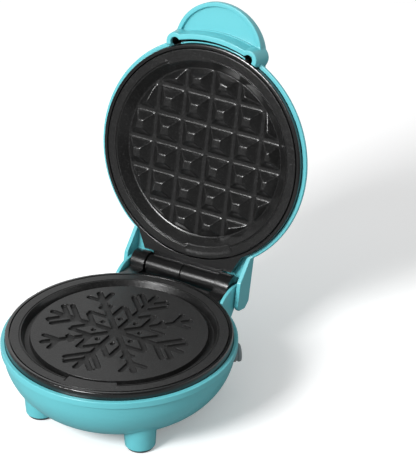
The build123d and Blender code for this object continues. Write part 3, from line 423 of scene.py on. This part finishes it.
@dataclass(frozen=True)
class NonStickCoating(Finish):
    """Sprayed dark coating on cast aluminium: orange peel, fine specks and a soft sheen.

    The lower plate, below the parting line, has the rougher and less glossy coat of the two. Its
    level faces are paler than its walls, which is painted light on the faces that look up, and its
    pale flakes are fewer on the walls. The engraving's walls, and less so its floors, have painted
    shade: they keep only the dark base colour, with a rougher, thinner coat, while its edges are
    worn shiny; the engraving is given as the radius that holds it, and the depths where its edges
    end and where its painted shade is full.
    """

    gloss: float = 0.35
    gloss_roughness: float = 0.12
    peel: float = 0.0016
    speck: float = 0.0008
    cloud: float = 0.02
    relief: float = 0.00007
    peel_height: float = 0.8
    cloud_gloss: float = 0.12
    speck_gloss: float = 0.2
    flake_level: float = 0.54
    flake_strength: float = 7.0
    # the pale colour that both the flakes and the painted light of the level faces blend towards
    flake_and_light_gain: float = 2.6
    flake_and_light_lift: float = 0.018
    wall_flakes: float = 0.4
    parting: float = 48.0
    level: float = 0.75
    level_sharpness: float = 5.0
    rougher: float = 0.16
    duller: float = 0.7
    # painted light: how much paler the level faces are than the walls
    painted_top_light: float = 0.6
    # the engraving's radius, and the depths where its edges end and where its painted shade is full
    engraved: tuple[float, float, float] = (46.5, 1.05, 1.3)
    floor_spared: float = 0.65
    recess_roughness: float = 0.3
    worn: float = 0.6

    def build(self) -> bpy.types.Material:
        """Makes the material, with masks for level faces, painted shade in the engraving and worn
        edges.

        Returns:
            The material.
        """
        graph = Graph(bpy.data.materials.new(self.name))
        peel = graph.noise(self.peel, 2.0)
        speck = graph.noise(self.speck, 1.0, 0.4)
        cloud = graph.noise(self.cloud, 3.0)
        flakes = (speck - self.flake_level).clamped() * self.flake_strength
        lower = 1.0 - graph.part(graph.place(), "Z").above(self.parting * MM)
        upright = graph.part(graph.node("ShaderNodeNewGeometry", output="Normal"), "Z")
        flat = ((upright - self.level) * self.level_sharpness).clamped() * lower
        across, up, down = graph.axes(BASE_HALF)
        reach, start, bottom = (value * MM for value in self.engraved)
        within = (reach ** 2 - (across * across + up * up)).above(0.0) * lower
        deep = ((down - start) / (bottom - start)).clamped()
        # painted shade: the engraving's walls, and less so its floors, lose the pale colour
        sunk = deep * within * (1.0 - flat * self.floor_spared)
        edge = within * (1.0 - flat) * (1.0 - deep)
        shown = self.wall_flakes + flat * (1.0 - self.wall_flakes)
        # pale flakes plus painted light on the level faces
        pale = (flakes * shown + flat * self.painted_top_light).clamped()
        uneven = cloud.swing(self.cloud_gloss) + speck.swing(self.speck_gloss)
        coat = self.gloss * (1.0 - flat * self.duller) * (1.0 - sunk)
        return graph.surface({
            # colour with painted light on level faces and painted shade in the engraving
            "Base Color": graph.blend(
                pale * (1.0 - sunk), self.colour, self.tinted(self.flake_and_light_gain, self.flake_and_light_lift)
            ),
            "Roughness": self.roughness + flat * self.rougher + sunk * self.recess_roughness + uneven,
            "Coat Weight": coat + edge * self.worn,
            "Coat Roughness": self.gloss_roughness,
            "Normal": graph.bump(peel * self.peel_height + speck, self.relief),
        })


@dataclass(frozen=True)
class Metal(Finish):
    """Bare or plated metal with fine drawing marks and a little tarnish."""

    tarnish: float = 0.006
    marks: float = 0.0003
    relief: float = 0.000008
    dull: float = 0.72
    marks_gloss: float = 0.25
    tarnish_gloss: float = 0.1

    def build(self) -> bpy.types.Material:
        """Makes the material.

        Returns:
            The material.
        """
        graph = Graph(bpy.data.materials.new(self.name))
        tarnish = graph.noise(self.tarnish, 4.0)
        marks = graph.noise(self.marks, 2.0)
        uneven = marks.swing(self.marks_gloss) + tarnish.swing(self.tarnish_gloss)
        return graph.surface({
            "Base Color": graph.blend(tarnish, self.tinted(self.dull), self.colour),
            "Metallic": 1.0,
            "Roughness": self.roughness + uneven,
            "Normal": graph.bump(marks, self.relief),
        })


@dataclass(frozen=True)
class Rubber(Finish):
    """Moulded rubber: dull, with a faint bloom on it."""

    roughness: float = 0.7
    bloom: float = 0.004
    grain: float = 0.0005
    relief: float = 0.00002
    bloom_gain: float = 1.35
    bloom_lift: float = 0.01
    bloom_gloss: float = 0.15

    def build(self) -> bpy.types.Material:
        """Makes the material.

        Returns:
            The material.
        """
        graph = Graph(bpy.data.materials.new(self.name))
        bloom = graph.noise(self.bloom, 4.0)
        grain = graph.noise(self.grain, 2.0)
        pale = self.tinted(self.bloom_gain, self.bloom_lift)
        return graph.surface({
            "Base Color": graph.blend(bloom, self.colour, pale),
            "Roughness": self.roughness + bloom.swing(self.bloom_gloss),
            "Normal": graph.bump(grain, self.relief),
        })


@dataclass(frozen=True)
class ClearMoulding(Finish):
    """Tinted clear plastic or glass of a small lamp."""

    cloud: float = 0.002
    shade: float = 0.85
    cloud_gloss: float = 0.04
    clearness: float = 0.6
    refraction: float = 1.49

    def build(self) -> bpy.types.Material:
        """Makes the material.

        Returns:
            The material.
        """
        graph = Graph(bpy.data.materials.new(self.name))
        cloud = graph.noise(self.cloud, 2.0)
        return graph.surface({
            "Base Color": graph.blend(cloud, self.tinted(self.shade), self.colour),
            "Roughness": self.roughness + cloud.swing(self.cloud_gloss),
            "Transmission Weight": self.clearness,
            "IOR": self.refraction,
        })


@dataclass
class Finishes:
    """Every finish of the appliance, by the record's material slot."""

    by_slot: dict[str, Finish] = field(default_factory=lambda: {
        # the housing's finish paints shade near black down the lid's slot
        "housing": SlottedPlastic("turquoise_plastic", linear(0.395, 0.75, 0.785), 0.33, coat=0.15),
        "liner": MouldedPlastic(
            "black_plastic", linear(0.05, 0.05, 0.052), 0.3, coat=1.0, coat_roughness=0.2
        ),
        "plate": NonStickCoating("non_stick_coating", linear(0.075, 0.075, 0.075), 0.34),
        "pad": Rubber("foot_rubber", linear(0.2, 0.22, 0.23)),
        "gland": Rubber("gland_rubber", linear(0.5, 0.53, 0.54)),
        "element": Metal("element_sheath", linear(0.5, 0.48, 0.46), 0.45),
        "shield": Metal("pressed_sheet", linear(0.84, 0.85, 0.86), 0.32),
        "fastener": Metal("plated_steel", linear(0.66, 0.66, 0.67), 0.3),
        "control": MouldedPlastic("ivory_plastic", linear(0.88, 0.86, 0.8), 0.5),
        "lead": Rubber("lead_insulation", linear(0.9, 0.9, 0.89), 0.5),
        "lens": ClearMoulding("red_lens", linear(0.85, 0.2, 0.14), 0.12),
        "lamp": ClearMoulding("lamp_glass", linear(0.95, 0.93, 0.9), 0.08),
    })

    def build(self) -> Materials:
        """Makes every material once."""
        return {slot: finish.build() for slot, finish in self.by_slot.items()}


SLOTS = {row["node"]: row["material_slot"] for row in frame["record"]["subparts"]}


def add_object(name: str, data: bpy.types.ID) -> bpy.types.Object:
    """Puts a mesh, lamp or camera into the scene as an object at the origin.

    Args:
        name: the object's name.
        data: the mesh, lamp or camera.

    Returns:
        The object.
    """
    made = bpy.data.objects.new(name, data)
    bpy.context.scene.collection.objects.link(made)
    return made


def dress(piece: bpy.types.Object, node: str, materials: Materials) -> None:
    """Gives a piece the finish of a node's slot, and reports it.

    Args:
        piece: the piece.
        node: the node whose slot it takes.
        materials: the finished materials by slot.
    """
    piece.data.materials.clear()
    piece.data.materials.append(materials[SLOTS[node]])
    log.info("%s: %d faces, %s", piece.name, len(piece.data.polygons), SLOTS[node])


def place_piece(piece: bpy.types.Object, body: Body, node: str, materials: Materials) -> None:
    """Puts a new piece in a node's place: it rides on the body and takes the node's finish.

    Args:
        piece: the new piece.
        body: the body that it rides on.
        node: the node that it stands for.
        materials: the finished materials by slot.
    """
    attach(piece, body.value)
    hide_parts(node)
    dress(piece, node, materials)


@dataclass(frozen=True)
class Shell:
    """A moulding or casting whose sharp edges are broken by a width in metres.

    The lip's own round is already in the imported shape, so the band there, given as the least and
    greatest radius and depth, is left as it is.
    """

    node: str
    body: Body
    half: Half
    width: float
    band: tuple[float, float, float, float] = (0.0, 0.0, 0.0, 0.0)
    segments: int = 2
    angle: float = 28.0
    stray: float = 0.75

    def build(self, materials: Materials) -> None:
        """Copies the node, joins its loose triangles and rounds every edge over the angle.

        A corner that the rounding throws off the surface, which is one further from it than the
        stray share of the width, is put back on its nearest point.

        Args:
            materials: the finished materials by slot.
        """
        work = bmesh.new()
        work.from_mesh(frame["nodes"][self.node].data)
        bmesh.ops.remove_doubles(work, verts=work.verts, dist=MERGE_GAP)
        skin = BVHTree.FromBMesh(work)
        limit = math.radians(self.angle)
        sharp = [e for e in work.edges if e.is_manifold and e.calc_face_angle() > limit]
        middles = np.array([(e.verts[0].co + e.verts[1].co) / 2 for e in sharp])
        radius, depth = self.half.coordinates(middles)
        inner, outer, high, low = self.band
        kept = (radius < inner) | (radius > outer) | (depth < high) | (depth > low)
        bmesh.ops.bevel(
            work, geom=[edge for edge, keep in zip(sharp, kept) if keep], offset=self.width,
            offset_type="OFFSET", affect="EDGES", segments=self.segments, profile=0.5,
            clamp_overlap=False, loop_slide=True,
        )
        for corner in work.verts:
            nearest, _, _, gap = skin.find_nearest(corner.co)
            if gap > self.stray * self.width:
                corner.co = nearest
        mesh = bpy.data.meshes.new(self.node + "_moulded")
        work.to_mesh(mesh)
        work.free()
        if mesh.attributes.get("custom_normal"):
            mesh.attributes.remove(mesh.attributes["custom_normal"])
        mesh.shade_smooth()
        mesh.set_sharp_from_angle(angle=SHARP_ANGLE)
        piece = add_object(self.node + "_moulded", mesh)
        even = piece.modifiers.new("even_normals", "WEIGHTED_NORMAL")
        even.mode = "FACE_AREA"
        even.keep_sharp = True
        place_piece(piece, self.body, self.node, materials)


def softened(radii: np.ndarray, outline: list[tuple[float, float]], reach: float) -> np.ndarray:
    """A ring outline with its corners eased: the mean of the outline from r - reach to r + reach.

    The mean is the difference of the outline's running integral over the window's width.

    Args:
        radii: where the depth is wanted.
        outline: (radius, depth) corners, in order of radius.
        reach: half the width of the window.

    Returns:
        The eased depth at each radius.
    """
    fine = np.linspace(0.0, OUTLINE_END, 14001)
    corners = np.array(outline)
    depth = np.interp(fine, corners[:, 0], corners[:, 1])
    total = np.concatenate(([0.0], np.cumsum((depth[1:] + depth[:-1]) / 2 * np.diff(fine))))
    low, high = np.maximum(radii - reach, 0.0), radii + reach
    return (np.interp(high, fine, total) - np.interp(low, fine, total)) / (high - low)


def eased(value: np.ndarray) -> np.ndarray:
    """0 below 0, 1 above 1, and the cubic 3v^2 - 2v^3 between."""
    held = np.clip(value, 0.0, 1.0)
    return held * held * (3.0 - 2.0 * held)


def greater(first: np.ndarray, second: np.ndarray | float, ease: float) -> np.ndarray:
    """The greater of two values, (a + b + sqrt((a - b)^2 + k^2)) / 2, with k rounding the join."""
    return (first + second + np.sqrt((first - second) ** 2 + ease ** 2)) / 2


def grid_faces(rows: int, turns: int) -> np.ndarray:
    """Quads of a closed ring grid: each row is a ring, and the last column joins the first.

    Args:
        rows: number of rings.
        turns: vertices in each ring.

    Returns:
        Vertex indices, four for each quad.
    """
    row, turn = np.meshgrid(np.arange(rows - 1), np.arange(turns), indexing="ij")
    here = row * turns + turn
    beside = row * turns + (turn + 1) % turns
    quads = np.stack([here, here + turns, beside + turns, beside], axis=-1)
    return quads.reshape(-1, 4)


@dataclass(frozen=True)
class PegPlate:
    """The upper cooking plate: a turned casting with a grid of tapered pegs and screw posts.

    The bowl's sloping side cuts off the pegs. The bowl is given as (radius, depth) corners, the
    seal groove as its radii and depth, and a notch in the flange as its start and arc in degrees
    and its inner radius. Lengths are in millimetres.
    """

    node: str = "upper_cook_plate"
    body: Body = Body.LID
    half: Half = LID_HALF
    body_depth: float = 7.0
    bowl: tuple[tuple[float, float], ...] = ((46.9, 4.6), (47.8, 4.2))
    notches: tuple[tuple[float, float, float], ...] = ((268.0, 30.0, 52.1), (90.0, 30.0, 52.1))
    turns: int = 600
    pattern_gap: float = 0.46
    bank_gap: float = 0.8
    flange_gap: float = 1.0
    corner_gaps: tuple[float, ...] = (-0.3, -0.15, 0.0, 0.15, 0.3)
    least_gap: float = 0.2
    corner: float = 0.35
    softness: float = 0.6
    radius: float = 58.3
    groove: tuple[float, float, float] = (52.7, 53.5, 0.5)
    groove_side: float = 0.02
    ridge: float = 52.6
    body_radius: float = 54.8
    chamfer: float = 0.5
    ledge: float = 2.2
    notch_outer: float = 55.4
    notch_depth: float = 0.5
    notch_side: float = 0.5
    back_centre: float = 6.0
    element_ring: float = 36.0
    element_radius: float = 3.4
    element_sunk: float = 0.8
    post_ring: float = 47.0
    post_radius: float = 3.4
    post_chamfer: float = 0.2
    post_root: float = 0.05
    post_angles: tuple[float, ...] = (90.0, 210.0, 330.0)
    screw_radius: float = 1.55
    tray_top: float = 14.0
    pitch: float = 16.28
    shift: float = 0.8
    peg_base: float = 6.95
    peg_top: float = 2.45
    valley: float = 4.6
    pattern_radius: float = 46.9
    pattern_side: float = 0.6
    rounding: float = 0.45

    def relief(self, x: np.ndarray, y: np.ndarray) -> np.ndarray:
        """The pegs, as a depth above the valley floor.

        Within its square of the grid a peg's depth grows evenly with the greater of the two
        distances from its middle, between its top and its base. The bowl's own slope grows the
        same way with the radius. The deeper of the two holds, between the peg's top and the
        valley floor. Each of these joins is rounded as greater does it.

        Args:
            x: distances across the plate.
            y: distances up the plate.

        Returns:
            What the pegs take off the valley's depth, as a negative number.
        """
        slope = self.valley / (self.peg_base - self.peg_top)
        across = np.abs((x - self.shift) % self.pitch - self.pitch / 2)
        along = np.abs(y % self.pitch - self.pitch / 2)
        radius = np.hypot(x, y)
        peg = (greater(across, along, self.rounding) - self.peg_top) * slope
        bowl = (radius - self.pattern_radius) * slope + self.valley
        cut = greater(greater(peg, bowl, self.rounding), 0.0, self.rounding)
        taken = greater(self.valley - cut, 0.0, self.rounding)
        middle = self.pattern_radius + self.pattern_side / 2
        return -taken * eased((middle - radius) / self.pattern_side)

    def notch_step(self, distance: np.ndarray) -> np.ndarray:
        """An eased step from 0 to 1 across a notch's side, 0.5 where the distance is 0."""
        return eased(distance / self.notch_side + 0.5)

    def depth(self, x: np.ndarray, y: np.ndarray) -> np.ndarray:
        """Depth of the upper face: the turned outline, the relief, and the notches in the flange.

        In a notch the depth is drawn to the notch's own by a mask, which is the product of an
        eased step along the radius at both ends and one along the arc at both ends.

        Args:
            x: distances across the plate.
            y: distances up the plate.

        Returns:
            The depth below the rim at each point.
        """
        radius, angle = np.hypot(x, y), np.degrees(np.arctan2(y, x))
        inner, outer, sunk = self.groove
        side = self.groove_side
        rings = [
            (0.0, self.bowl[0][1]), *self.bowl, (self.ridge, 0.0), (inner, 0.0),
            (inner + side, sunk), (outer, sunk), (outer + side, 0.0), (OUTLINE_END, 0.0),
        ]
        depth = softened(radius, rings, self.corner * self.softness) + self.relief(x, y)
        for start, arc, reach in self.notches:
            along = (angle - start) % 360.0
            gap = np.where(along > 180.0 + arc / 2, along - 360.0, along) * np.pi / 180 * radius
            ends = self.notch_step(gap) * self.notch_step(arc * np.pi / 180 * radius - gap)
            sides = self.notch_step(radius - reach) * self.notch_step(self.notch_outer - radius)
            mask = ends * sides
            depth = depth * (1.0 - mask) + self.notch_depth * mask
        return depth

    def rings(self) -> np.ndarray:
        """Radii of the face's rings: even over the pattern, closer at the outline's corners.

        Returns:
            The radii, in order.
        """
        bank = self.bowl[0][0] + 1.0
        even = np.concatenate([
            np.arange(self.pattern_gap, bank, self.pattern_gap),
            np.arange(bank, self.ridge, self.bank_gap),
            np.arange(self.groove[1] + self.bank_gap, self.radius - self.corner, self.flange_gap),
        ])
        steps = [r for r, _ in self.bowl] + [self.ridge, self.groove[0], self.groove[1]]
        close = np.concatenate([r + np.array(self.corner_gaps) for r in steps])
        apart = np.abs(even[:, None] - close[None, :]).min(axis=1) > self.least_gap
        return np.unique(np.round(np.concatenate([even[apart], close]), 3))

    def back(self) -> np.ndarray:
        """Outline round the rim and along the back: arcs at the edge and in the element's seat.

        Returns:
            (radius, depth) pairs.
        """
        inner, base, cut = self.radius - self.corner, self.body_depth, self.chamfer
        rim = [
            (inner + self.corner * math.sin(a), self.corner - self.corner * math.cos(a))
            for a in np.linspace(0.0, np.pi / 2, 4)
        ]
        rise = self.element_radius - self.element_sunk
        reach = math.acos(rise / self.element_radius)
        seat = [
            (self.element_ring + self.element_radius * math.sin(a),
             base + rise - self.element_radius * math.cos(a))
            for a in np.linspace(reach, -reach, 9)
        ]
        return np.array([
            *rim, (self.radius, self.ledge), (self.body_radius, self.ledge),
            (self.body_radius, base - cut), (self.body_radius - cut, base),
            *seat, (self.back_centre, base),
        ])

    def post(self, angle: float) -> tuple[np.ndarray, np.ndarray]:
        """One screw post: a closed tube turned round its own axis.

        Args:
            angle: its place on the post ring, in degrees.

        Returns:
            Its points and its quads, numbered from 0.
        """
        around = np.radians(np.arange(0.0, 360.0, 9.0))
        low, high, cut = self.body_depth - self.post_root, self.tray_top, self.post_chamfer
        tube = np.array([
            (self.screw_radius, low), (self.post_radius, low), (self.post_radius, high - cut),
            (self.post_radius - cut, high), (self.screw_radius, high), (self.screw_radius, low),
        ])
        x = self.post_ring * math.cos(math.radians(angle)) + np.outer(tube[:, 0], np.cos(around))
        y = self.post_ring * math.sin(math.radians(angle)) + np.outer(tube[:, 0], np.sin(around))
        depth = np.repeat(tube[:, 1:], len(around), axis=1)
        points = self.half.points(x, y, depth)[:-1].reshape(-1, 3)
        return points, grid_faces(len(tube), len(around)) % len(points)

    def build(self, materials: Materials) -> None:
        """Works out the whole surface and puts it in place of the node.

        Each ring of the face lies at its radius and at the depth of the relief there; the rings
        of the back follow its outline; one point closes each middle.

        Args:
            materials: the finished materials by slot.
        """
        angles = np.linspace(0.0, 2 * np.pi, self.turns, endpoint=False)
        face_radii, outline = self.rings(), self.back()
        radii = np.concatenate([face_radii, outline[:, 0]])
        x, y = np.outer(radii, np.cos(angles)), np.outer(radii, np.sin(angles))
        top = self.depth(x[:len(face_radii)], y[:len(face_radii)])
        depth = np.repeat(outline[:, 1:], self.turns, axis=1)
        shell = self.half.points(x, y, np.vstack([top, depth])).reshape(-1, 3)
        zero = np.zeros(1)
        poles = np.vstack([
            self.half.points(zero, zero, self.depth(zero, zero)),
            self.half.points(zero, zero, np.array([self.body_depth])),
        ])
        count = len(shell)
        last = count - self.turns
        turn = np.arange(self.turns)
        beside = (turn + 1) % self.turns
        caps = np.vstack([
            np.stack([np.full(self.turns, count), turn, beside], axis=-1),
            np.stack([np.full(self.turns, count + 1), last + beside, last + turn], axis=-1),
        ])
        points, quads = [shell, poles], [grid_faces(len(radii), self.turns)]
        for angle in self.post_angles:
            tube, faces = self.post(angle)
            quads.append(faces + sum(len(part) for part in points))
            points.append(tube)
        mesh = bpy.data.meshes.new(self.node + "_cast")
        mesh.from_pydata(
            np.vstack(points).tolist(), [], np.vstack(quads).tolist() + caps.tolist()
        )
        work = bmesh.new()
        work.from_mesh(mesh)
        bmesh.ops.recalc_face_normals(work, faces=work.faces)
        work.to_mesh(mesh)
        work.free()
        mesh.shade_smooth()
        mesh.set_sharp_from_angle(angle=SHARP_ANGLE)
        place_piece(add_object(self.node + "_cast", mesh), self.body, self.node, materials)


@dataclass
class SubAssembly:
    """Pieces that are built and dressed together."""

    pieces: tuple[Shell | PegPlate, ...] = ()

    def build(self, materials: Materials) -> list[str]:
        """Builds the pieces.

        Args:
            materials: the finished materials by slot.

        Returns:
            The nodes that they stand for.
        """
        for piece in self.pieces:
            piece.build(materials)
        return [piece.node for piece in self.pieces]


@dataclass
class Base(SubAssembly):
    """The standing half: bowl, liner, cord gland and the engraved plate."""

    pieces: tuple[Shell | PegPlate, ...] = (
        Shell("lower_housing", Body.BASE, BASE_HALF, 0.45 * MM, (60.0, 64.6, 3.3, 7.6)),
        Shell("lower_liner", Body.BASE, BASE_HALF, 0.3 * MM),
        Shell("cord_gland", Body.BASE, BASE_HALF, 0.25 * MM),
        Shell("lower_cook_plate", Body.BASE, BASE_HALF, 0.2 * MM),
    )


@dataclass
class Lid(SubAssembly):
    """The turning half: dome with its handle, liner with the hinge barrel, and the peg plate."""

    pieces: tuple[Shell | PegPlate, ...] = (
        Shell("lid_housing", Body.LID, LID_HALF, 0.5 * MM, (60.0, 64.6, 2.4, 4.7)),
        Shell("upper_liner", Body.LID, LID_HALF, 0.3 * MM),
        PegPlate(),
    )


class Fittings:
    """Every other piece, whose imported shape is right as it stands: feet, pin, heating, wiring."""

    def build(self, materials: Materials, made: list[str]) -> None:
        """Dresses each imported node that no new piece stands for.

        Args:
            materials: the finished materials by slot.
            made: nodes that have a new piece.
        """
        for node, piece in frame["nodes"].items():
            if node not in made:
                dress(piece, node, materials)


@dataclass
class Studio:
    """Floor, lamps, world and camera.

    Lengths are in metres, but the lens and its sensor in millimetres; powers are in watts and
    angles in degrees. Levels are shares of white.
    """

    floor_half: float = 0.9
    floor_shade: float = 0.45
    floor_seen: float = 0.5
    floor_mirrored: float = 0.22
    floor_roughness: float = 0.9
    floor_lift: float = 0.2
    key_place: Point = (-0.32, -1.25, 0.98)
    key_size: float = 0.5
    key_power: float = 26.5
    fill_place: Point = (-1.7, -0.5, 0.9)
    fill_size: float = 2.4
    fill_power: float = 11.0
    world_level: float = 0.6
    wall_top: float = 0.57
    ceiling_low: float = 0.82
    ceiling_level: float = 0.15
    front_level: float = 0.06
    front_middle: float = 0.5
    front_slope: float = 1.4
    target: Point = (0.0, 0.03, 0.07)
    camera_place: Point = (0.6228, -0.9964, 0.7826)
    camera_tilt: float = 60.07
    camera_turn: float = 29.70
    camera_lens: float = 203.04
    camera_sensor: float = 36.0

    def floor(self) -> None:
        """Lays a large pale floor that is white to the camera where it is fully lit."""
        grid = np.array([(-1, -1, 0), (1, -1, 0), (1, 1, 0), (-1, 1, 0)], float) * self.floor_half
        mesh = bpy.data.meshes.new("floor")
        mesh.from_pydata(grid.tolist(), [], [(0, 1, 2, 3)])
        graph = Graph(bpy.data.materials.new("floor_paper"))
        seen, mirrored = graph.ray("Is Camera Ray"), graph.ray("Is Glossy Ray")
        level = self.floor_shade + seen * self.floor_seen - mirrored * self.floor_mirrored
        mesh.materials.append(graph.surface({
            "Base Color": graph.blend(level, BLACK, WHITE),
            "Roughness": self.floor_roughness,
            "Specular IOR Level": 0.0,
            "Emission Color": graph.blend(seen, BLACK, (self.floor_lift,) * 3),
            "Emission Strength": 1.0,
        }))
        add_object("floor", mesh)

    def lamp(
        self, name: str, place: Point, size: float, power: float, mirrored: bool = True
    ) -> None:
        """Adds a square area lamp aimed at the appliance.

        Args:
            name: the lamp's name.
            place: its place.
            size: its side.
            power: its power.
            mirrored: whether glossy surfaces mirror it.
        """
        data = bpy.data.lights.new(name, "AREA")
        data.size = size
        data.energy = power
        lamp = add_object(name, data)
        lamp.location = place
        aim = Vector(self.target) - Vector(place)
        lamp.rotation_euler = aim.to_track_quat("-Z", "Y").to_euler()
        lamp.visible_glossy = mirrored

    def world(self) -> None:
        """Sets up the surroundings: white to the camera, and in reflections a white wall.

        In reflections the wall is white up to wall_top and fades to the dark ceiling by
        ceiling_low, both as the sine of the height angle, and it fades round to the dim side
        where the camera stands. Other light from it is plain and dim.
        """
        world = bpy.data.worlds.new("studio")
        graph = Graph(world)
        seen = graph.ray("Is Camera Ray")
        shiny = (graph.ray("Is Glossy Ray") + graph.ray("Is Transmission Ray")).clamped()
        towards = graph.node("ShaderNodeTexCoord", output="Generated")
        height, behind = graph.part(towards, "Z"), graph.part(towards, "Y")
        fade = ((height - self.wall_top) / (self.ceiling_low - self.wall_top)).clamped()
        front = (self.front_middle - behind * self.front_slope).clamped() * (1.0 - self.front_level)
        room = (1.0 - fade * (1.0 - self.ceiling_level)) * (1.0 - front)
        level = (1.0 - shiny) * self.world_level + shiny * room
        strength = seen + (1.0 - seen) * level
        shade = graph.node("ShaderNodeBackground", {}, {"Strength": strength})
        graph.node("ShaderNodeOutputWorld", {}, {"Surface": shade})
        bpy.context.scene.world = world

    def camera(self) -> None:
        """Sets the camera where the photograph was taken from."""
        data = bpy.data.cameras.new("camera")
        data.lens = self.camera_lens
        data.sensor_width = self.camera_sensor
        camera = add_object("camera", data)
        camera.location = self.camera_place
        turns = (math.radians(self.camera_tilt), 0.0, math.radians(self.camera_turn))
        camera.rotation_euler = Euler(turns)
        bpy.context.scene.camera = camera

    def build(self) -> None:
        """Sets up the whole studio."""
        self.floor()
        self.lamp("key", self.key_place, self.key_size, self.key_power)
        self.lamp("fill", self.fill_place, self.fill_size, self.fill_power, mirrored=False)
        self.world()
        self.camera()
        bpy.context.scene.view_settings.view_transform = "Standard"


def main() -> None:
    """Dresses the frame."""
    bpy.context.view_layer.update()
    Studio().build()
    materials = Finishes().build()
    made = Base().build(materials) + Lid().build(materials)
    Fittings().build(materials, made)


if __name__ == "__main__":
    main()
